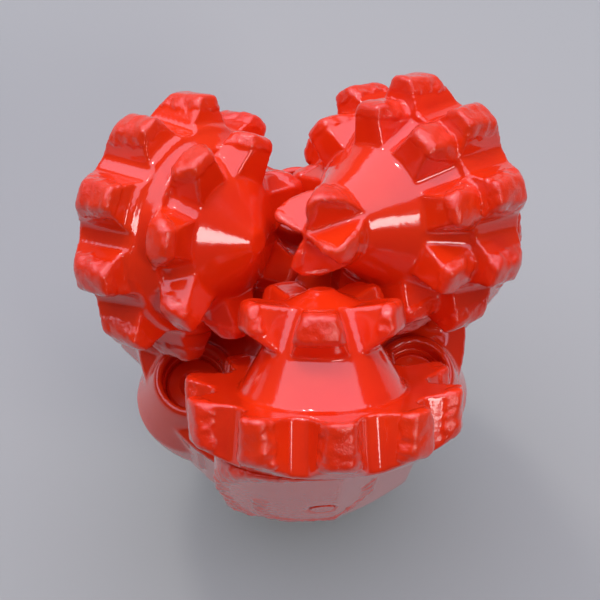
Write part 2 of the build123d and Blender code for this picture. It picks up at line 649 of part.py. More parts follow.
def main():
    """Build and write the whole bit."""
    one_leg = leg()
    bead = weld_seam()
    for number, azimuth in enumerate(LEG_AZIMUTHS, start=1):
        write("leg_" + str(number), Rot(0, 0, azimuth) * one_leg, "red")
        write("weld_seam_" + str(number), Rot(0, 0, azimuth - SEAM_LEAD) * bead, "red")
    for number, cone_shape in enumerate((first_cone(), second_cone(), third_cone()), start=1):
        write_station(number, LEG_AZIMUTHS[number - 1], cone_shape)


main()
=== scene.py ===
"""Looks of a steel-tooth tricone drill bit: enamel, hardfacing, weld beads, thread and bearing metals."""
import json
import logging
import math
from dataclasses import dataclass, field
from enum import Enum

import bmesh
import bpy
import numpy as np
from mathutils import Matrix, Vector, noise


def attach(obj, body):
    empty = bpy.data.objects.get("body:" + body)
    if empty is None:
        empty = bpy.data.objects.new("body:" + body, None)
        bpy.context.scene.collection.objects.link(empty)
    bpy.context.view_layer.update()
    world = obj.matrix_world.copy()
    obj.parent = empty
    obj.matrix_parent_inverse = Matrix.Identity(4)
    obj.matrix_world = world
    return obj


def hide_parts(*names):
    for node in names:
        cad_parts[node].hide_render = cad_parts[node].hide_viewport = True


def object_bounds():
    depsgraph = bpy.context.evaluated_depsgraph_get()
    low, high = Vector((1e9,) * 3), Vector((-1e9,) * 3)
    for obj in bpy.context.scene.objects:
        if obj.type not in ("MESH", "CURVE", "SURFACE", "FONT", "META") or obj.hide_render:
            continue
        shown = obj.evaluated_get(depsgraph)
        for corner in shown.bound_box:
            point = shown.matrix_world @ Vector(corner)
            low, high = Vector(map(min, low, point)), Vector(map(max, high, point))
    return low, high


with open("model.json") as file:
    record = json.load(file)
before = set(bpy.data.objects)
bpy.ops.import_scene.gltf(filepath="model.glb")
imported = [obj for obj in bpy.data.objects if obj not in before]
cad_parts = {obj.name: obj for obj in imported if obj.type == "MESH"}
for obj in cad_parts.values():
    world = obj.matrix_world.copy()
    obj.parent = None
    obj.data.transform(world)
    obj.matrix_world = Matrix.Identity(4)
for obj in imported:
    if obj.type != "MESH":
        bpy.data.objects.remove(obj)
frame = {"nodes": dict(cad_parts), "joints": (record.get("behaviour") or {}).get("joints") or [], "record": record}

logging.basicConfig(level=logging.INFO, format="%(message)s")
log = logging.getLogger("drill_bit")

MM = 0.001
CAD_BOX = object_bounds()
BODY = "bit_body"
STATIONS = (1, 2, 3)
PAINTED_OVER = ("jet_nozzle", "nozzle_snap_ring", "reservoir_cap", "cap_snap_ring", "ball_plug")


class Slot(Enum):
    """Material slots of the record."""

    ENAMEL = "red_enamel"
    BEARING_STEEL = "bearing_steel"
    SPRING_STEEL = "spring_steel"
    BRONZE = "bearing_bronze"
    CARBIDE = "nozzle_carbide"
    RUBBER = "seal_rubber"


# --- Finishes ---------------------------------------------------------------------------


class NodeTree:
    """Small helper that adds and links shader nodes."""

    def __init__(self, name: str) -> None:
        """Start an empty material.

        Args:
            name: name of the material.
        """
        self.material = bpy.data.materials.new(name)
        self.material.use_nodes = True
        self.tree = self.material.node_tree
        self.tree.nodes.clear()
        self.output = self.add("ShaderNodeOutputMaterial")

    def add(self, kind: str, **settings: object) -> bpy.types.Node:
        """Add a node and set its properties and inputs.

        Args:
            kind: Blender's name of the node type.
            settings: property names, or socket names with spaces written as underscores.

        Returns:
            The new node.
        """
        node = self.tree.nodes.new(kind)
        for name, value in settings.items():
            if hasattr(node, name):
                setattr(node, name, value)
            else:
                node.inputs[name.replace("_", " ")].default_value = value
        return node

    def link(self, source: bpy.types.NodeSocket, target: bpy.types.NodeSocket) -> None:
        """Join two sockets."""
        self.tree.links.new(source, target)

    def object_point(self, scale: tuple[float, float, float] = (1.0, 1.0, 1.0)) -> bpy.types.NodeSocket:
        """Object coordinates, scaled.

        Args:
            scale: factor along each axis.

        Returns:
            The socket that carries the point.
        """
        coordinates = self.add("ShaderNodeTexCoord")
        mapping = self.add("ShaderNodeMapping")
        mapping.inputs["Scale"].default_value = scale
        self.link(coordinates.outputs["Object"], mapping.inputs["Vector"])
        return mapping.outputs["Vector"]

    def noise(self, point: bpy.types.NodeSocket, scale: float, detail: float,
              rough: float) -> bpy.types.NodeSocket:
        """Noise value at a point.

        Args:
            point: socket with the point.
            scale: waves per metre.
            detail: octaves.
            rough: share that each octave keeps.

        Returns:
            The socket with the value.
        """
        texture = self.add("ShaderNodeTexNoise")
        texture.inputs["Scale"].default_value = scale
        texture.inputs["Detail"].default_value = detail
        texture.inputs["Roughness"].default_value = rough
        self.link(point, texture.inputs["Vector"])
        return texture.outputs["Fac"]

    def spread(self, value: bpy.types.NodeSocket, low: float, high: float, first: float,
               last: float) -> bpy.types.NodeSocket:
        """Map a value from one range to another, clamped.

        Args:
            value: socket with the value.
            low: start of the input range.
            high: end of the input range.
            first: output at low.
            last: output at high.

        Returns:
            The socket with the mapped value.
        """
        node = self.add("ShaderNodeMapRange")
        for name, number in (("From Min", low), ("From Max", high), ("To Min", first), ("To Max", last)):
            node.inputs[name].default_value = number
        self.link(value, node.inputs["Value"])
        return node.outputs["Result"]

    def mix_colour(self, share: bpy.types.NodeSocket, first: tuple[float, ...],
                   last: tuple[float, ...]) -> bpy.types.NodeSocket:
        """Blend two colours.

        Args:
            share: socket with the share of the second colour.
            first: colour at 0.
            last: colour at 1.

        Returns:
            The socket with the colour.
        """
        node = self.add("ShaderNodeMix", data_type="RGBA")
        node.inputs[6].default_value = (*first, 1.0)
        node.inputs[7].default_value = (*last, 1.0)
        self.link(share, node.inputs[0])
        return node.outputs[2]

    def bump(self, height: bpy.types.NodeSocket, distance: float, strength: float,
             under: bpy.types.NodeSocket | None = None) -> bpy.types.NodeSocket:
        """Bump a surface.

        Args:
            height: socket with the height.
            distance: height of a value of 1, in metres.
            strength: share of the effect.
            under: normal that this bump is laid over.

        Returns:
            The socket with the normal.
        """
        node = self.add("ShaderNodeBump")
        node.inputs["Strength"].default_value = strength
        node.inputs["Distance"].default_value = distance
        self.link(height, node.inputs["Height"])
        if under is not None:
            self.link(under, node.inputs["Normal"])
        return node.outputs["Normal"]


@dataclass(frozen=True)
class RedEnamel:
    """Thick glossy vermilion enamel, sprayed over everything above the pin."""

    name: str = "red_enamel"
    colour: tuple[float, float, float] = (0.90, 0.036, 0.004)
    thin_colour: tuple[float, float, float] = (0.84, 0.024, 0.004)
    roughness: float = 0.12
    coat: float = 0.55
    coat_roughness: float = 0.03
    grit_depth: float = 0.00032

    def build(self) -> bpy.types.Material:
        """Make the material.

        Returns:
            The enamel, whose relief follows the hardface attribute.
        """
        nodes = NodeTree(self.name)
        point = nodes.object_point()
        shader = nodes.add("ShaderNodeBsdfPrincipled")
        blotch = nodes.spread(nodes.noise(point, 22.0, 3.0, 0.55), 0.35, 0.7, 0.0, 1.0)
        nodes.link(nodes.mix_colour(blotch, self.colour, self.thin_colour), shader.inputs["Base Color"])
        attribute = nodes.add("ShaderNodeAttribute", attribute_name="hardface")
        hard = attribute.outputs["Fac"]
        shader.inputs["Roughness"].default_value = self.roughness
        shader.inputs["IOR"].default_value = 1.5
        shader.inputs["Coat Weight"].default_value = self.coat
        shader.inputs["Coat Roughness"].default_value = self.coat_roughness
        shader.inputs["Coat IOR"].default_value = 1.5
        peel = nodes.bump(nodes.noise(point, 420.0, 2.0, 0.5), 0.00009, 0.5)
        grit = nodes.noise(point, 900.0, 4.0, 0.62)
        gritty = nodes.add("ShaderNodeMath", operation="MULTIPLY")
        nodes.link(grit, gritty.inputs[0])
        nodes.link(hard, gritty.inputs[1])
        relief = nodes.bump(gritty.outputs[0], self.grit_depth, 0.8, peel)
        nodes.link(relief, shader.inputs["Normal"])
        nodes.link(relief, shader.inputs["Coat Normal"])
        nodes.link(shader.outputs["BSDF"], nodes.output.inputs["Surface"])
        return nodes.material


@dataclass(frozen=True)
class TurnedSteel:
    """Machined or ground metal with fine tool marks round the bit's axis."""

    name: str
    colour: tuple[float, float, float]
    stain: tuple[float, float, float]
    roughness: float
    stain_roughness: float = 0.18
    marks: float = 2400.0

    def build(self) -> bpy.types.Material:
        """Make the material.

        Returns:
            Metal with stains and turning marks.
        """
        nodes = NodeTree(self.name)
        point = nodes.object_point()
        shader = nodes.add("ShaderNodeBsdfPrincipled")
        shader.inputs["Metallic"].default_value = 1.0
        stain = nodes.spread(nodes.noise(point, 70.0, 5.0, 0.6), 0.42, 0.68, 0.0, 1.0)
        nodes.link(nodes.mix_colour(stain, self.colour, self.stain), shader.inputs["Base Color"])
        dull = nodes.spread(stain, 0.0, 1.0, self.roughness, self.roughness + self.stain_roughness)
        nodes.link(dull, shader.inputs["Roughness"])
        tool = nodes.noise(nodes.object_point((0.02, 0.02, 1.0)), self.marks, 2.0, 0.5)
        nodes.link(nodes.bump(tool, 0.00004, 0.6), shader.inputs["Normal"])
        nodes.link(shader.outputs["BSDF"], nodes.output.inputs["Surface"])
        return nodes.material


@dataclass(frozen=True)
class SealRubber:
    """Moulded nitrile rubber of the O-rings and diaphragms."""

    name: str = "seal_rubber"

    def build(self) -> bpy.types.Material:
        """Make the material.

        Returns:
            Matt black rubber with a faint bloom.
        """
        nodes = NodeTree(self.name)
        point = nodes.object_point()
        shader = nodes.add("ShaderNodeBsdfPrincipled")
        bloom = nodes.noise(point, 260.0, 3.0, 0.6)
        nodes.link(nodes.mix_colour(bloom, (0.018, 0.018, 0.019), (0.045, 0.044, 0.043)),
                   shader.inputs["Base Color"])
        nodes.link(nodes.spread(bloom, 0.3, 0.7, 0.45, 0.62), shader.inputs["Roughness"])
        nodes.link(nodes.bump(nodes.noise(point, 1500.0, 2.0, 0.5), 0.00003, 0.5), shader.inputs["Normal"])
        nodes.link(shader.outputs["BSDF"], nodes.output.inputs["Surface"])
        return nodes.material


@dataclass(frozen=True)
class StudioFloor:
    """Plain pale floor that keeps the bit's shadow."""

    name: str = "studio_floor"
    colour: tuple[float, float, float] = (0.45, 0.44, 0.40)

    def build(self) -> bpy.types.Material:
        """Make the material.

        Returns:
            Matt pale grey.
        """
        nodes = NodeTree(self.name)
        shader = nodes.add("ShaderNodeBsdfPrincipled")
        shader.inputs["Base Color"].default_value = (*self.colour, 1.0)
        shader.inputs["Roughness"].default_value = 0.9
        shader.inputs["Specular IOR Level"].default_value = 0.2
        nodes.link(shader.outputs["BSDF"], nodes.output.inputs["Surface"])
        return nodes.material


@dataclass
class Palette:
    """Every finish of the bit, built once."""

    enamel: bpy.types.Material = field(init=False)
    pin_steel: bpy.types.Material = field(init=False)
    bearing_steel: bpy.types.Material = field(init=False)
    bronze: bpy.types.Material = field(init=False)
    rubber: bpy.types.Material = field(init=False)
    carbide: bpy.types.Material = field(init=False)
    floor: bpy.types.Material = field(init=False)

    def __post_init__(self) -> None:
        """Build the materials."""
        self.enamel = RedEnamel().build()
        self.pin_steel = TurnedSteel("pin_steel", (0.30, 0.30, 0.31), (0.16, 0.155, 0.15), 0.34).build()
        ground = TurnedSteel("bearing_steel", (0.58, 0.58, 0.60), (0.45, 0.44, 0.43), 0.18)
        self.bearing_steel = ground.build()
        self.bronze = TurnedSteel("bearing_bronze", (0.72, 0.48, 0.24), (0.52, 0.33, 0.15), 0.24).build()
        self.carbide = TurnedSteel("nozzle_carbide", (0.33, 0.33, 0.34), (0.24, 0.24, 0.25), 0.3).build()
        self.rubber = SealRubber().build()
        self.floor = StudioFloor().build()

    def for_slot(self, slot: str) -> bpy.types.Material:
        """Finish of one of the record's material slots."""
        chosen = {Slot.ENAMEL: self.enamel, Slot.BEARING_STEEL: self.bearing_steel,
                  Slot.SPRING_STEEL: self.carbide, Slot.BRONZE: self.bronze, Slot.CARBIDE: self.carbide,
                  Slot.RUBBER: self.rubber}
        return chosen[Slot(slot)]


# --- Mesh work --------------------------------------------------------------------------


def object_from_bmesh(mesh: bmesh.types.BMesh, name: str) -> bpy.types.Object:
    """Turn a bmesh into an object at the origin.

    Args:
        mesh: geometry in metres, in the row's frame; it is freed.
        name: name of the object.

    Returns:
        The linked object.
    """
    data = bpy.data.meshes.new(name)
    mesh.to_mesh(data)
    mesh.free()
    piece = bpy.data.objects.new(name, data)
    bpy.context.scene.collection.objects.link(piece)
    return piece


def merged_nodes(names: list[str]) -> bmesh.types.BMesh:
    """Copy CAD nodes' meshes into one bmesh with doubles merged.

    Args:
        names: CAD nodes.

    Returns:
        The joined mesh.
    """
    mesh = bmesh.new()
    for name in names:
        mesh.from_mesh(frame["nodes"][name].data)
    bmesh.ops.remove_doubles(mesh, verts=mesh.verts, dist=0.002 * MM)
    return mesh


def applied(piece: bpy.types.Object) -> bpy.types.Object:
    """Apply an object's modifiers into its mesh."""
    graph = bpy.context.evaluated_depsgraph_get()
    data = bpy.data.meshes.new_from_object(piece.evaluated_get(graph), depsgraph=graph)
    piece.modifiers.clear()
    piece.data = data
    return piece


def painted_over(piece: bpy.types.Object, voxel: float, passes: int) -> bpy.types.Object:
    """Round all edges as a thick coat of paint does: an even remesh, then smoothing.

    Args:
        piece: closed object.
        voxel: size of the even grid, in metres.
        passes: smoothing passes.

    Returns:
        The same object with its new mesh.
    """
    remesh = piece.modifiers.new("even_grid", "REMESH")
    remesh.mode = "VOXEL"
    remesh.voxel_size = voxel
    smooth = piece.modifiers.new("paint", "SMOOTH")
    smooth.factor = 0.5
    smooth.iterations = passes
    bpy.context.view_layer.update()
    return applied(piece)


def points_of(piece: bpy.types.Object) -> tuple[np.ndarray, np.ndarray]:
    """Vertices and their normals.

    Args:
        piece: mesh object.

    Returns:
        Two arrays of one row per vertex.
    """
    count = len(piece.data.vertices)
    points = np.empty(count * 3)
    normals = np.empty(count * 3)
    piece.data.vertices.foreach_get("co", points)
    piece.data.vertices.foreach_get("normal", normals)
    return points.reshape(-1, 3), normals.reshape(-1, 3)


def set_points(piece: bpy.types.Object, points: np.ndarray) -> None:
    """Write the vertices back."""
    piece.data.vertices.foreach_set("co", points.reshape(-1))
    piece.data.update()


def keep_in_box(piece: bpy.types.Object) -> None:
    """Grind off what a bead would stand out of the CAD box."""
    points, _ = points_of(piece)
    set_points(piece, np.clip(points, np.array(CAD_BOX[0]), np.array(CAD_BOX[1])))


def set_hardface(piece: bpy.types.Object, mask: np.ndarray) -> None:
    """Keep the hardfacing mask on the mesh for the enamel to read."""
    layer = piece.data.attributes.new("hardface", "FLOAT", "POINT")
    layer.data.foreach_set("value", mask.astype(np.float32))


def smooth_step(value: np.ndarray, low: float, high: float) -> np.ndarray:
    """Ease from 0 at low to 1 at high."""
    share = np.clip((value - low) / (high - low), 0.0, 1.0)
    return share * share * (3.0 - 2.0 * share)


def melt(piece: bpy.types.Object, mask: np.ndarray, passes: int) -> None:
    """Round the masked surface as molten metal rounds: repeated smoothing of those vertices only.

    Args:
        piece: object to change.
        mask: share of hardfacing, per vertex.
        passes: smoothing passes.
    """
    mesh = bmesh.new()
    mesh.from_mesh(piece.data)
    mesh.verts.ensure_lookup_table()
    chosen = [mesh.verts[int(index)] for index in np.nonzero(mask > 0.25)[0]]
    for _ in range(passes):
        bmesh.ops.smooth_vert(mesh, verts=chosen, factor=0.5, use_axis_x=True, use_axis_y=True,
                              use_axis_z=True)
    mesh.to_mesh(piece.data)
    mesh.free()
    piece.data.update()


def lumps(points: np.ndarray, size: float, seed: float) -> np.ndarray:
    """Noise between about -1 and 1 at each point.

    Args:
        points: positions in metres.
        size: size of a lump, in metres.
        seed: shifts the pattern.

    Returns:
        One value per point.
    """
    shift = Vector((seed, seed * 1.7, -seed))
    return np.array([noise.noise(Vector(point) / size + shift) for point in points])


@dataclass(frozen=True)
class Hardfacing:
    """Welded-on hard metal: proud, lumpy, with ripples across the bead."""

    build_up: float = 0.9 * MM
    lump: float = 1.2 * MM
    lump_size: float = 5.5 * MM
    ripple: float = 0.42 * MM
    ripple_size: float = 2.3 * MM
    ragged_size: float = 4.0 * MM
    ragged_share: float = 0.35
    ragged_start: float = 0.3
    ragged_full: float = 0.7

    def lay(self, piece: bpy.types.Object, mask: np.ndarray, seed: float,
            keep: np.ndarray | None = None) -> None:
        """Raise the masked surface.

        Args:
            piece: object to change.
            mask: 0 for bare milled steel to 1 for full hardfacing, per vertex.
            seed: shifts the pattern from piece to piece.
            keep: share of each vertex's rise that may stay, or None for all of it.
        """
        points, normals = points_of(piece)
        edge = np.zeros(len(points))
        chosen = mask > 0.001
        edge[chosen] = lumps(points[chosen], self.ragged_size, seed + 31.0)
        ragged = np.where(chosen, smooth_step(mask + self.ragged_share * edge, self.ragged_start,
                                               self.ragged_full), 0.0)
        rise = np.zeros(len(points))
        rise[chosen] = (self.build_up + self.lump * lumps(points[chosen], self.lump_size, seed)
                        + self.ripple * lumps(points[chosen], self.ripple_size, seed + 7.0))
        if keep is not None:
            rise = np.where(rise > 0.0, rise * keep, rise)
        set_points(piece, points + normals * (rise * ragged)[:, None])
        set_hardface(piece, ragged)


@dataclass(frozen=True)
class JournalFrame:
    """Cylindrical measures about one cone's journal axis."""

    origin: np.ndarray
    along: np.ndarray
    up: np.ndarray
    side: np.ndarray

    @classmethod
    def of_station(cls, number: int) -> "JournalFrame":
        """Frame of one journal, read from its joint.

        Args:
            number: station of the cone.

        Returns:
            The frame, whose origin is where the axis passes the bit axis.
        """
        joint = next(j for j in frame["joints"] if j["name"] == f"cone_{number}_spin")
        along = -np.array(joint["axis"], float)
        place = np.array(joint["pos_m"], float)
        back = -(place[:2] @ along[:2]) / (along[:2] @ along[:2])
        up = np.array([0.0, 0.0, 1.0]) - along[2] * along
        up = up / np.linalg.norm(up)
        return cls(place + back * along, along, up, np.cross(up, along))

    def place(self, outward: float, sideways: float, along: float, angle: float) -> Vector:
        """Point given by its distances along the axis, out from it and across, at an angle round it.

        Args:
            outward: distance from the axis along the direction of the angle.
            sideways: distance across that direction.
            along: distance along the axis.
            angle: direction round the axis, in radians.

        Returns:
            The point in metres.
        """
        radial = self.up * math.cos(angle) - self.side * math.sin(angle)
        across = -self.up * math.sin(angle) - self.side * math.cos(angle)
        return Vector(self.origin + along * self.along + outward * radial + sideways * across)

    def turned(self, outline: tuple[tuple[float, float], ...], steps: int = 64) -> bmesh.types.BMesh:
        """Turn a closed outline of (radius, along) points about the journal axis.

        Args:
            outline: profile in metres.
            steps: facets round the axis.

        Returns:
            The turned solid.
        """
        mesh = bmesh.new()
        points = [mesh.verts.new(self.place(radius, 0.0, along, 0.0)) for radius, along in outline]
        edges = [mesh.edges.new((points[i - 1], points[i])) for i in range(len(points))]
        bmesh.ops.spin(mesh, geom=points + edges, cent=Vector(self.origin), axis=Vector(self.along),
                       angle=math.tau, steps=steps, use_merge=True)
        bmesh.ops.remove_doubles(mesh, verts=mesh.verts, dist=0.001 * MM)
        bmesh.ops.recalc_face_normals(mesh, faces=mesh.faces)
        return mesh

    def measure(self, points: np.ndarray) -> tuple[np.ndarray, np.ndarray, np.ndarray]:
        """Distance along the axis, radius and angle of points.

        Args:
            points: positions in metres.

        Returns:
            Three arrays.
        """
        offset = points - self.origin
        along = offset @ self.along
        height = offset @ self.up
        side = offset @ self.side
        return along, np.hypot(height, side), np.arctan2(side, height)


# --- Cones ------------------------------------------------------------------------------


def skin_between(mesh: bmesh.types.BMesh, first: list[bmesh.types.BMVert],
                 last: list[bmesh.types.BMVert]) -> None:
    """Close the solid between two matching loops of vertices.

    Args:
        mesh: mesh that the vertices are in.
        first: loop at one end.
        last: loop at the other end, in the same order.
    """
    count = len(first)
    for i in range(count):
        mesh.faces.new((first[i], first[(i + 1) % count], last[(i + 1) % count], last[i]))
    mesh.faces.new(first[::-1])
    mesh.faces.new(last)


def carve(piece: bpy.types.Object, cutter: bmesh.types.BMesh) -> None:
    """Mill a cutter's shape out of a piece.

    Args:
        piece: closed object to change.
        cutter: closed solid, which is freed.
    """
    bmesh.ops.triangulate(cutter, faces=cutter.faces)
    bmesh.ops.recalc_face_normals(cutter, faces=cutter.faces)
    tool = object_from_bmesh(cutter, "cutter")
    milling = piece.modifiers.new("milling", "BOOLEAN")
    milling.operation = "DIFFERENCE"
    milling.solver = "EXACT"
    milling.object = tool
    bpy.context.view_layer.update()
    applied(piece)
    bpy.data.objects.remove(tool)


def add_solid(piece: bpy.types.Object, solid: bmesh.types.BMesh) -> None:
    """Lay a solid into a piece, to be made one with it by the even grid.

    Args:
        piece: object to change.
        solid: closed solid, which is freed.
    """
    solid.from_mesh(piece.data)
    solid.to_mesh(piece.data)
    solid.free()


@dataclass(frozen=True)
class ToothRow:
    """A ring of milled wedge teeth, given by the spaces that the cutter leaves between them."""

    count: int
    first_angle: float
    crest_radius: float
    crest_width: float
    root: tuple[tuple[float, float], tuple[float, float]]
    root_gap: float
    fillet: float = 3.5 * MM
    overtravel: float = 5.0 * MM
    arc_steps: int = 4

    def section(self, floor: float) -> list[tuple[float, float]]:
        """Outline of one tooth space across the cone's axis.

        Args:
            floor: radius of the space's floor.

        Returns:
            Points as (outward, sideways), with rounded floor corners.
        """
        half_floor = self.root_gap / 2.0
        half_mouth = self.crest_radius * math.sin(math.pi / self.count) - self.crest_width / 2.0
        flank = math.atan2(half_mouth - half_floor, self.crest_radius - floor)
        rounding = min(self.fillet, half_floor)
        tangent = rounding * math.tan((math.pi / 2.0 - flank) / 2.0)
        half = []
        for step in range(self.arc_steps + 1):
            turn = (math.pi / 2.0 - flank) * step / self.arc_steps
            half.append((floor + rounding * (1.0 - math.cos(turn)),
                         half_floor - tangent + rounding * math.sin(turn)))
        half.append((self.crest_radius + self.overtravel, half_mouth + math.tan(flank) * self.overtravel))
        mirrored = [(outward, -sideways) for outward, sideways in reversed(half)]
        return mirrored + half

    def cutter(self, journal: JournalFrame) -> bmesh.types.BMesh:
        """Solid of all the tooth spaces in this row.

        Args:
            journal: frame of the cone.

        Returns:
            The closed solids in one mesh.
        """
        mesh = bmesh.new()
        for number in range(self.count):
            angle = math.tau * (number + 0.5) / self.count - math.radians(self.first_angle)
            loops = []
            for along, floor in self.root:
                loops.append([mesh.verts.new(journal.place(outward, sideways, along, angle))
                              for outward, sideways in self.section(floor)])
            skin_between(mesh, *loops)
        return mesh


@dataclass(frozen=True)
class SpearNose:
    """Wedge wings whose crests meet at the tip of the first cone."""

    tip: float = -3.0 * MM
    radius: float = 25.0 * MM
    base: float = 27.4 * MM
    wings: int = 4
    first_wing: float = -25.0
    flank: float = 45.0
    floor_start: tuple[float, float] = (2.0 * MM, 2.0 * MM)
    floor_end: tuple[float, float] = (22.6 * MM, 27.4 * MM)
    floor_gap: float = 1.6 * MM
    depth: float = 45.0 * MM
    core: tuple[tuple[float, float], ...] = ((23.5 * MM, 28.5 * MM), (19.5 * MM, 23.5 * MM),
                                             (17.0 * MM, 20.0 * MM))
    clear_outward: float = 5.0 * MM
    clear_ahead: float = 8.0 * MM

    def clearing(self, journal: JournalFrame) -> bmesh.types.BMesh:
        """Everything in front of the cone's blunt core, where the nose is built up anew."""
        reach = self.radius + self.clear_outward
        ahead = self.tip - self.clear_ahead
        start, end = self.core[0], self.core[-1]
        return journal.turned(((0.0, ahead), (reach, ahead), (reach, start[1]), *self.core, (0.0, end[1])))

    def valleys(self, journal: JournalFrame) -> list[bmesh.types.BMesh]:
        """Cutters for the valleys between the wings."""
        run = Vector(self.floor_end) - Vector(self.floor_start)
        outward = Vector((run.y, -run.x)).normalized()
        ends = (Vector(self.floor_start) - run, Vector(self.floor_end))
        half_floor = self.floor_gap / 2.0
        half_top = half_floor + self.depth * math.tan(math.radians(self.flank))
        corners = ((0.0, -half_floor), (0.0, half_floor), (self.depth, half_top), (self.depth, -half_top))
        found = []
        for number in range(self.wings):
            angle = math.radians(self.first_wing) + math.tau * (number + 0.5) / self.wings
            mesh = bmesh.new()
            loops = []
            for end in ends:
                loops.append([mesh.verts.new(journal.place(end.x + rise * outward.x, across,
                                                           end.y + rise * outward.y, angle))
                              for rise, across in corners])
            skin_between(mesh, *loops)
            found.append(mesh)
        return found

    def solid(self, journal: JournalFrame) -> bmesh.types.BMesh:
        """The wings.

        Args:
            journal: frame of the first cone.

        Returns:
            The closed solid.
        """
        tip, radius, base = self.tip, self.radius, self.base
        outline = ((0.0, tip + 1.5 * MM), (4.0 * MM, tip), (17.0 * MM, tip), (21.0 * MM, tip + 1.5 * MM),
                   (radius - 1.0 * MM, tip + 5.0 * MM), (radius, tip + 9.0 * MM), (radius, 15.0 * MM),
                   (radius - 1.5 * MM, 21.0 * MM), (radius - 3.5 * MM, base), (0.0, base))
        blank = object_from_bmesh(journal.turned(outline), "spear_blank")
        for valley in self.valleys(journal):
            carve(blank, valley)
        mesh = bmesh.new()
        mesh.from_mesh(blank.data)
        bpy.data.objects.remove(blank)
        return mesh


@dataclass(frozen=True)
class CrestBand:
    """Where a ring of teeth is hardfaced: its reach along the axis and its tip radius."""

    start: float
    end: float
    tip: float
    depth: float = 11.0 * MM
    full_depth_share: float = 0.4
    margin: float = 5.0 * MM

    def mask(self, along: np.ndarray, radius: np.ndarray) -> np.ndarray:
        """Share of hardfacing at each point."""
        inside = smooth_step(along, self.start - self.margin, self.start)
        inside = inside * smooth_step(-along, -self.end - self.margin, -self.end)
        full_from = self.tip - self.full_depth_share * self.depth
        return inside * smooth_step(radius, self.tip - self.depth, full_from)


@dataclass(frozen=True)
class SpearBand:
    """Hardfacing of the spear nose: the crests at its tip and the outer ends of its wings."""

    crest: float = 4.0 * MM
    base: float = 19.0 * MM
    radius: float = 25.0 * MM
    fade: float = 4.0 * MM
    full_from_end: float = 1.5 * MM

    def mask(self, along: np.ndarray, radius: np.ndarray) -> np.ndarray:
        """Share of hardfacing at each point."""
        tip = smooth_step(-along, -self.crest, 0.0)
        ends = smooth_step(radius, self.radius - self.fade, self.radius - self.full_from_end)
        return np.maximum(tip, ends * smooth_step(-along, -self.base, -self.base + self.fade))


@dataclass
class RollingCone:
    """One rolling cutter: its painted skin over the CAD cone."""

    number: int
    rows: tuple[ToothRow, ...]
    bands: tuple[CrestBand | SpearBand, ...]
    nose: SpearNose | None = None
    voxel: float = 1.15 * MM
    passes: int = 4
    melting: int = 14
    radial_share: float = 0.45

    def build(self, palette: Palette) -> bpy.types.Object:
        """Make the painted, hardfaced skin.

        Args:
            palette: the bit's finishes.

        Returns:
            The skin that stands for the CAD cone.
        """
        node = f"cone_{self.number}"
        skin = object_from_bmesh(merged_nodes([node]), f"cone_{self.number}_cutter")
        journal = JournalFrame.of_station(self.number)
        for row in self.rows:
            carve(skin, row.cutter(journal))
        if self.nose is not None:
            carve(skin, self.nose.clearing(journal))
            add_solid(skin, self.nose.solid(journal))
        painted_over(skin, self.voxel, self.passes)
        points, _ = points_of(skin)
        along, radius, _ = journal.measure(points)
        mask = np.zeros(len(points))
        for band in self.bands:
            mask = np.maximum(mask, band.mask(along, radius))
        melt(skin, mask, self.melting)
        points, normals = points_of(skin)
        offset = points - journal.origin
        outward = offset - np.outer(offset @ journal.along, journal.along)
        outward = outward / np.maximum(np.linalg.norm(outward, axis=1), 1e-6)[:, None]
        spinward = 1.0 - (normals @ journal.along) ** 2 - np.sum(normals * outward, axis=1) ** 2
        keep = self.radial_share + (1.0 - self.radial_share) * np.clip(spinward, 0.0, 1.0)
        Hardfacing().lay(skin, mask, float(self.number) * 11.0, keep)
        keep_in_box(skin)
        dress(skin, palette.enamel, f"cone_body_{self.number}", [node])
        return skin


# --- Legs and shank ---------------------------------------------------------------------


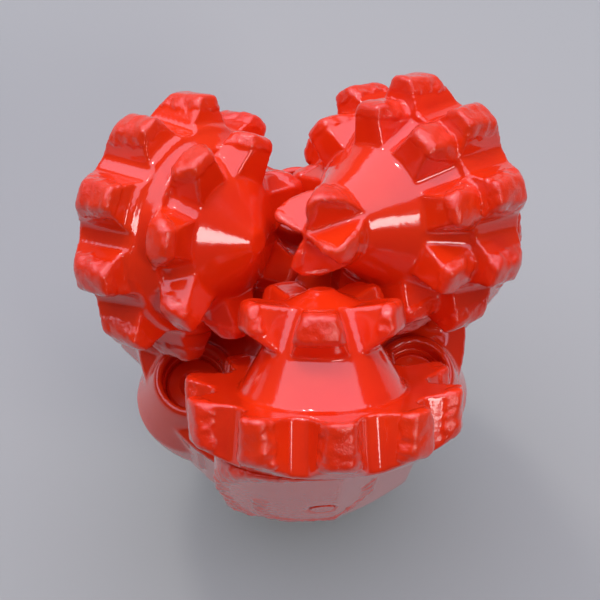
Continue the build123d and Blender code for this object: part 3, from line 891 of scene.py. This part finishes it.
@dataclass
class LegSet:
    """The three welded legs with their shank, as one coat of paint over separate forgings."""

    voxel: float = 1.6 * MM
    passes: int = 5
    shoulder: float = 127.0 * MM
    seam_lead: float = 35.0
    skin_start: float = 0.6 * MM
    rim: tuple[float, float, float, float] = (50.0 * MM, 55.0 * MM, 61.0 * MM, 64.0 * MM)
    rim_reach: tuple[float, float] = (116.0 * MM, 119.0 * MM)
    rim_along: tuple[float, float] = (106.0 * MM, 109.0 * MM)
    relief_reach: float = 60.0 * MM
    relief_blend: float = 3.0 * MM
    shank_top: float = 152.0 * MM
    relief_start: tuple[float, float] = (119.5 * MM, 16.0 * MM)
    relief_end: tuple[float, float] = (98.0 * MM, 52.0 * MM)
    pad_centre: float = 2.0 * MM
    pad_half_width: float = 30.0 * MM
    pad_bottom: float = 214.0 * MM
    pad_top: float = 262.0 * MM
    pad_corner: float = 16.0 * MM
    pad_bead: float = 9.0 * MM
    pad_full_share: float = 0.25
    pad_edge_share: float = 0.6
    pad_fade: float = 6.0 * MM
    pad_outward: tuple[float, float] = (99.0 * MM, 102.0 * MM)

    def seam_directions(self) -> list[Vector]:
        """Unit vectors from the bit axis to each seam, in order of the legs."""
        found = []
        for number in STATIONS:
            journal = JournalFrame.of_station(number)
            azimuth = math.atan2(journal.along[1], journal.along[0]) - math.radians(self.seam_lead)
            found.append(Vector((math.cos(azimuth), math.sin(azimuth), 0.0)))
        return found

    def joined(self) -> bpy.types.Object:
        """Legs and weld beads in one mesh; the even grid drops the faces inside it.

        Returns:
            The joined object.
        """
        mesh = merged_nodes([f"leg_{number}" for number in STATIONS])
        welds = merged_nodes([f"weld_seam_{number}" for number in STATIONS])
        data = bpy.data.meshes.new("weld_copy")
        welds.to_mesh(data)
        welds.free()
        mesh.from_mesh(data)
        bpy.data.meshes.remove(data)
        return object_from_bmesh(mesh, "legs_joined")

    def relieve(self, whole: bpy.types.Object) -> None:
        """Flatten the leading side of each arm, above the shank."""
        points, _ = points_of(whole)
        run = np.array(self.relief_end) - np.array(self.relief_start)
        run = run / np.linalg.norm(run)
        for number in STATIONS:
            journal = JournalFrame.of_station(number)
            azimuth = math.atan2(journal.along[1], journal.along[0])
            ahead = np.array((math.cos(azimuth), math.sin(azimuth), 0.0))
            aside = np.array((-math.sin(azimuth), math.cos(azimuth), 0.0))
            normal = run[1] * ahead - run[0] * aside
            start = self.relief_start[0] * ahead + self.relief_start[1] * aside
            depth = np.maximum((points - start) @ normal, 0.0) * (points @ ahead > self.relief_reach)
            depth = depth * smooth_step(points[:, 2], self.shank_top, self.shank_top + self.relief_blend)
            points = points - depth[:, None] * normal
        set_points(whole, points)

    def hardface_mask(self, points: np.ndarray) -> np.ndarray:
        """Where the shirttails carry welded beads.

        Args:
            points: positions in metres.

        Returns:
            Share of hardfacing at each point.
        """
        mask = np.zeros(len(points))
        reach = np.hypot(points[:, 0], points[:, 1])
        for number in STATIONS:
            along, radius, _ = JournalFrame.of_station(number).measure(points)
            inner_edge, full_from, full_to, outer_edge = self.rim
            rim = smooth_step(radius, inner_edge, full_from) * smooth_step(-radius, -outer_edge, -full_to)
            outer = smooth_step(reach, *self.rim_reach) * smooth_step(along, *self.rim_along)
            mask = np.maximum(mask, rim * outer)
            mask = np.maximum(mask, self.pad_mask(points, number))
        return mask

    def pad_mask(self, points: np.ndarray, number: int) -> np.ndarray:
        """Bead laid in a U on the outer face of one leg.

        Args:
            points: positions in metres.
            number: station of the leg.

        Returns:
            Share of hardfacing at each point.
        """
        journal = JournalFrame.of_station(number)
        azimuth = math.atan2(journal.along[1], journal.along[0])
        outward = points[:, 0] * math.cos(azimuth) + points[:, 1] * math.sin(azimuth)
        sideways = points[:, 1] * math.cos(azimuth) - points[:, 0] * math.sin(azimuth) - self.pad_centre
        across = np.maximum(np.abs(sideways) - self.pad_half_width + self.pad_corner, 0.0)
        below = np.maximum(self.pad_bottom + self.pad_corner - points[:, 2], 0.0)
        reach = np.hypot(across, below)
        off_line = np.abs(reach - self.pad_corner)
        bead = 1.0 - smooth_step(off_line, self.pad_full_share * self.pad_bead,
                                 self.pad_edge_share * self.pad_bead)
        below_top = smooth_step(-points[:, 2], -self.pad_top, -self.pad_top + self.pad_fade)
        face = smooth_step(outward, *self.pad_outward) * below_top
        return bead * face

    def sector(self, whole: bpy.types.Object, number: int, seams: list[Vector]) -> bpy.types.Object:
        """Cut one leg's third out of the joined skin.

        Args:
            whole: skin of all three legs.
            number: station of the leg.
            seams: directions of the seams.

        Returns:
            The leg's own skin.
        """
        mesh = bmesh.new()
        mesh.from_mesh(whole.data)
        start = seams[number - 1]
        end = seams[number % len(seams)]
        for seam, sign in ((start, 1.0), (end, -1.0)):
            side = Vector((-seam.y, seam.x, 0.0)) * sign
            geometry = mesh.verts[:] + mesh.edges[:] + mesh.faces[:]
            bmesh.ops.bisect_plane(mesh, geom=geometry, plane_co=(0, 0, 0), plane_no=side, dist=1e-7,
                                   clear_inner=True)
        return object_from_bmesh(mesh, f"leg_{number}_forging")

    def build(self, palette: Palette) -> list[bpy.types.Object]:
        """Make the painted legs.

        Args:
            palette: the bit's finishes.

        Returns:
            One skin for each leg.
        """
        whole = painted_over(self.joined(), self.voxel, self.passes)
        mesh = bmesh.new()
        mesh.from_mesh(whole.data)
        geometry = mesh.verts[:] + mesh.edges[:] + mesh.faces[:]
        cut = (0, 0, self.shoulder + self.skin_start)
        bmesh.ops.bisect_plane(mesh, geom=geometry, plane_co=cut, plane_no=(0, 0, 1), dist=1e-7,
                               clear_inner=True)
        mesh.to_mesh(whole.data)
        mesh.free()
        self.relieve(whole)
        points, _ = points_of(whole)
        bead = Hardfacing(build_up=0.5 * MM, lump=0.9 * MM, lump_size=5.0 * MM)
        bead.lay(whole, self.hardface_mask(points), 5.0)
        keep_in_box(whole)
        seams = self.seam_directions()
        legs = [self.sector(whole, number, seams) for number in STATIONS]
        bpy.data.objects.remove(whole)
        for number, leg in zip(STATIONS, legs):
            dress(leg, palette.enamel, BODY, [f"leg_{number}", f"weld_seam_{number}"])
        return legs


@dataclass
class ThreadedPin:
    """The machined pin: plain base, tapered vee thread and bore, left unpainted."""

    length: float = 127.0 * MM
    base_radius: float = 74.8 * MM
    base_length: float = 13.0 * MM
    taper: float = 1.0 / 12.0
    thread_height: float = 3.7 * MM
    pitch: float = 6.35 * MM
    bore: float = 38.0 * MM
    nose_chamfer: float = 4.0 * MM
    shank: float = 93.0 * MM
    bore_edge: float = 0.8 * MM
    run_out: float = 2.0 * MM
    base_edge: float = 0.6 * MM
    base_root: float = 1.0 * MM
    shank_edge: float = 0.4 * MM
    overlap: float = 1.0 * MM
    steps: int = 96

    def root_radius(self, height: float) -> float:
        """Root of the thread at a height above the nose."""
        top = self.base_radius - self.thread_height * 2.0 / 3.0
        return top - (self.length - self.base_length - height) * self.taper

    def spun(self, outline: list[tuple[float, float]], name: str) -> bpy.types.Object:
        """Turn an outline of (radius, height) about the bit axis.

        Args:
            outline: closed profile.
            name: name of the piece.

        Returns:
            The turned piece.
        """
        mesh = bmesh.new()
        points = [mesh.verts.new((radius, 0.0, height)) for radius, height in outline]
        edges = [mesh.edges.new((points[i], points[(i + 1) % len(points)])) for i in range(len(points))]
        bmesh.ops.spin(mesh, geom=points + edges, cent=(0, 0, 0), axis=(0, 0, 1), angle=math.tau,
                       steps=self.steps, use_merge=True)
        bmesh.ops.remove_doubles(mesh, verts=mesh.verts, dist=0.001 * MM)
        bmesh.ops.recalc_face_normals(mesh, faces=mesh.faces)
        return object_from_bmesh(mesh, name)

    def core(self) -> bpy.types.Object:
        """Everything of the pin but the thread ridge."""
        base_bottom = self.length - self.base_length
        low = self.root_radius(0.0)
        thread_end = base_bottom - self.run_out
        outline = [(self.bore, self.bore_edge), (self.bore + self.bore_edge, 0.0),
                   (low - self.nose_chamfer, 0.0), (self.root_radius(self.nose_chamfer), self.nose_chamfer),
                   (self.root_radius(thread_end), thread_end),
                   (self.base_radius - self.base_edge, base_bottom),
                   (self.base_radius, base_bottom + self.base_edge),
                   (self.base_radius, self.length - self.base_root),
                   (self.base_radius + self.base_root, self.length),
                   (self.shank - self.shank_edge, self.length),
                   (self.shank, self.length + self.shank_edge),
                   (self.shank, self.length + self.overlap), (self.bore, self.length + self.overlap)]
        return self.spun(outline, "pin_core")

    def thread(self) -> bpy.types.Object:
        """Right-hand tapered thread ridge, fading in at the nose and out at the base.

        Returns:
            The ridge.
        """
        mesh = bmesh.new()
        start = self.nose_chamfer + 1.0 * MM
        turns = (self.length - self.base_length - start - self.pitch) / self.pitch
        half = self.pitch / 2.0
        crest = 0.64 * MM
        profile = [(-0.4 * MM, -half * 0.94), (self.thread_height, -crest), (self.thread_height, crest),
                   (-0.4 * MM, half * 0.94)]
        points = [mesh.verts.new((self.base_radius + out, 0.0, start + rise)) for out, rise in profile]
        edges = [mesh.edges.new((points[i], points[i + 1])) for i in range(len(points) - 1)]
        steps = int(turns * self.steps)
        bmesh.ops.spin(mesh, geom=points + edges, cent=(0, 0, 0), axis=(0, 0, 1), angle=math.tau * turns,
                       steps=steps, dvec=(0, 0, self.pitch * turns / steps), use_merge=False)
        mesh.verts.ensure_lookup_table()
        for index, vertex in enumerate(mesh.verts):
            flat = math.hypot(vertex.co.x, vertex.co.y)
            out = flat - self.base_radius
            step = index // len(profile)
            fade = min(1.0, step / (0.6 * self.steps), (steps - step) / (1.2 * self.steps))
            radius = self.root_radius(vertex.co.z) + (out if out < 0 else out * max(fade, 0.0))
            vertex.co.x *= radius / flat
            vertex.co.y *= radius / flat
        bmesh.ops.recalc_face_normals(mesh, faces=mesh.faces)
        return object_from_bmesh(mesh, "pin_thread")

    def build(self, palette: Palette) -> list[bpy.types.Object]:
        """Make the pin and its thread.

        Args:
            palette: the bit's finishes.

        Returns:
            The pieces.
        """
        pieces = [self.core(), self.thread()]
        for piece in pieces:
            dress(piece, palette.pin_steel, BODY, [])
        return pieces


def dress(piece: bpy.types.Object, material: bpy.types.Material, body: str,
          stands_for: list[str]) -> None:
    """Give a piece its finish and body, smooth its shading and hide the CAD nodes that it stands for.

    Args:
        piece: object to dress.
        material: its finish.
        body: CAD body that it moves with.
        stands_for: CAD nodes that it replaces.
    """
    piece.data.materials.clear()
    piece.data.materials.append(material)
    piece.data.shade_smooth()
    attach(piece, body)
    if stands_for:
        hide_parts(*stands_for)


def dress_nodes(palette: Palette) -> None:
    """Give every CAD node the finish of its slot.

    Args:
        palette: the bit's finishes.
    """
    slots = {part["node"]: part["material_slot"] for part in frame["record"]["subparts"]}
    for name, node in frame["nodes"].items():
        painted = name.rsplit("_", 1)[0] in PAINTED_OVER
        node.data.materials.clear()
        node.data.materials.append(palette.enamel if painted else palette.for_slot(slots[name]))


# --- Studio -----------------------------------------------------------------------------


@dataclass(frozen=True)
class Lamp:
    """A soft square lamp: its name, place in metres, side and power in watts."""

    name: str
    place: tuple[float, float, float]
    size: float
    power: float


@dataclass
class Studio:
    """Pale floor, soft light and the camera."""

    crossing_height: float
    elevation: float = 68.25
    azimuth: float = -6.98
    roll: float = 5.41
    distance: float = 0.750
    frame_width: float = 0.318
    sensor: float = 36.0
    aim_below_top: float = 11.4 * MM
    sky_centre: tuple[float, float, float] = (-0.10, 0.50, 0.86)
    sky_edge: float = 0.70
    sky_spread: tuple[float, float, float] = (0.74, 1.0, 1.0)
    sky_blur: float = 0.025
    ground_light: tuple[float, float, float] = (0.03, 0.03, 0.03)
    dim_sky: tuple[float, float, float] = (0.05, 0.05, 0.055)
    bright_sky: tuple[float, float, float] = (0.84, 0.88, 1.12)
    sky_strength: float = 1.9
    frame_shift: tuple[float, float] = (-0.0143, -0.0795)
    far_clip: float = 50.0
    lamp_aim_share: float = 0.8
    lamps: tuple[Lamp, ...] = (Lamp("glint", (-0.35, 0.75, 1.6), 0.16, 4.0),
                               Lamp("fill", (0.9, -1.0, 1.7), 0.5, 7.0))

    def floor(self, palette: Palette) -> None:
        """Lay the floor that the bit stands on."""
        mesh = bmesh.new()
        bmesh.ops.create_grid(mesh, x_segments=1, y_segments=1, size=6.0)
        floor = object_from_bmesh(mesh, "studio_floor")
        floor.data.materials.append(palette.floor)

    def camera(self) -> None:
        """Place the camera above the bit, leaning a little to one side."""
        tilt = math.radians(self.elevation)
        turn = math.radians(self.azimuth)
        lean = math.radians(self.roll)
        back = Vector((math.sin(turn) * math.cos(tilt), -math.cos(turn) * math.cos(tilt), math.sin(tilt)))
        right = Vector((math.cos(turn), math.sin(turn), 0.0))
        up = back.cross(right)
        right_leaning = right * math.cos(lean) + up * math.sin(lean)
        up_leaning = up * math.cos(lean) - right * math.sin(lean)
        aim = Vector((0.0, 0.0, self.crossing_height - self.aim_below_top))
        data = bpy.data.cameras.new("camera")
        data.sensor_width = self.sensor
        data.lens = self.sensor * self.distance / self.frame_width
        data.shift_x, data.shift_y = self.frame_shift
        data.clip_end = self.far_clip
        camera = bpy.data.objects.new("camera", data)
        matrix = Matrix((right_leaning, up_leaning, back)).transposed().to_4x4()
        matrix.translation = aim + back * self.distance
        camera.matrix_world = matrix
        bpy.context.scene.collection.objects.link(camera)
        bpy.context.scene.camera = camera

    def hang(self, lamp: Lamp) -> None:
        """Hang a soft square lamp that faces the bit.

        Args:
            lamp: the lamp to hang.
        """
        data = bpy.data.lights.new(lamp.name, "AREA")
        data.size = lamp.size
        data.energy = lamp.power
        holder = bpy.data.objects.new(lamp.name, data)
        holder.location = lamp.place
        aim = Vector((0.0, 0.0, self.crossing_height * self.lamp_aim_share)) - Vector(lamp.place)
        holder.rotation_euler = aim.to_track_quat("-Z", "Y").to_euler()
        bpy.context.scene.collection.objects.link(holder)

    def world(self) -> None:
        """Light the studio with one broad bright patch of sky behind and above the bit."""
        world = bpy.data.worlds.new("studio")
        world.use_nodes = True
        tree = world.node_tree
        tree.nodes.clear()
        output = tree.nodes.new("ShaderNodeOutputWorld")
        background = tree.nodes.new("ShaderNodeBackground")
        coordinates = tree.nodes.new("ShaderNodeTexCoord")
        toward = tree.nodes.new("ShaderNodeVectorMath")
        toward.operation = "DOT_PRODUCT"
        toward.inputs[1].default_value = Vector(self.sky_centre).normalized()
        ramp = tree.nodes.new("ShaderNodeValToRGB")
        stops = ramp.color_ramp.elements
        stops[0].position = 0.0
        stops[0].color = (*self.ground_light, 1.0)
        stops[1].position = self.sky_edge
        stops[1].color = (*self.dim_sky, 1.0)
        bright = stops.new(self.sky_edge + self.sky_blur)
        bright.color = (*self.bright_sky, 1.0)
        widened = tree.nodes.new("ShaderNodeVectorMath")
        widened.operation = "MULTIPLY"
        widened.inputs[1].default_value = self.sky_spread
        level = tree.nodes.new("ShaderNodeVectorMath")
        level.operation = "NORMALIZE"
        tree.links.new(coordinates.outputs["Generated"], widened.inputs[0])
        tree.links.new(widened.outputs[0], level.inputs[0])
        tree.links.new(level.outputs[0], toward.inputs[0])
        tree.links.new(toward.outputs["Value"], ramp.inputs["Fac"])
        tree.links.new(ramp.outputs["Color"], background.inputs["Color"])
        background.inputs["Strength"].default_value = self.sky_strength
        tree.links.new(background.outputs[0], output.inputs["Surface"])
        bpy.context.scene.world = world

    def build(self, palette: Palette) -> None:
        """Set up everything that isn't the bit."""
        self.camera()
        self.floor(palette)
        self.world()
        for lamp in self.lamps:
            self.hang(lamp)
        bpy.context.scene.view_settings.view_transform = "Standard"


def gauge_row(first_angle: float) -> ToothRow:
    """Outer ring of teeth, the same on all cones but for where it starts."""
    root = ((66.0 * MM, 56.6 * MM), (116.0 * MM, 62.4 * MM))
    return ToothRow(10, first_angle, 74.3 * MM, 6.0 * MM, root, 8.0 * MM)


def inner_row(count: int, first_angle: float, crest: float, start: tuple[float, float],
              end: tuple[float, float]) -> ToothRow:
    """Ring of teeth nearer the nose.

    Args:
        count: number of teeth.
        first_angle: where the first tooth stands, in degrees.
        crest: radius of the crests.
        start: (along, radius) where the root line starts.
        end: (along, radius) where it ends.

    Returns:
        The row.
    """
    return ToothRow(count, first_angle, crest, 5.5 * MM, (start, end), 6.5 * MM)


def cutters() -> tuple[RollingCone, ...]:
    """The three unlike cones."""
    gauge = CrestBand(74.0 * MM, 98.0 * MM, 75.0 * MM)
    second = inner_row(9, 6.0, 63.0 * MM, (44.0 * MM, 33.5 * MM), (73.0 * MM, 53.5 * MM))
    middle = inner_row(7, -14.0, 57.5 * MM, (42.0 * MM, 25.2 * MM), (62.5 * MM, 48.1 * MM))
    short = inner_row(5, -5.0, 45.0 * MM, (20.0 * MM, 14.5 * MM), (53.5 * MM, 31.0 * MM))
    return (
        RollingCone(1, (gauge_row(5.0), second),
                    (gauge, CrestBand(53.0 * MM, 70.0 * MM, 62.8 * MM), SpearBand()), SpearNose()),
        RollingCone(2, (gauge_row(-14.0), middle), (gauge, CrestBand(45.0 * MM, 60.0 * MM, 57.3 * MM))),
        RollingCone(3, (gauge_row(4.0), short), (gauge, CrestBand(28.0 * MM, 42.0 * MM, 44.5 * MM))),
    )


def main() -> None:
    """Dress the whole bit, in order from its core to the studio."""
    palette = Palette()
    dress_nodes(palette)
    for cone in cutters():
        skin = cone.build(palette)
        log.info("%s: %d faces", skin.name, len(skin.data.polygons))
    for piece in LegSet().build(palette) + ThreadedPin().build(palette):
        log.info("%s: %d faces", piece.name, len(piece.data.polygons))
    journal = JournalFrame.of_station(1)
    Studio(crossing_height=float(journal.origin[2])).build(palette)


if __name__ == "__main__":
    main()
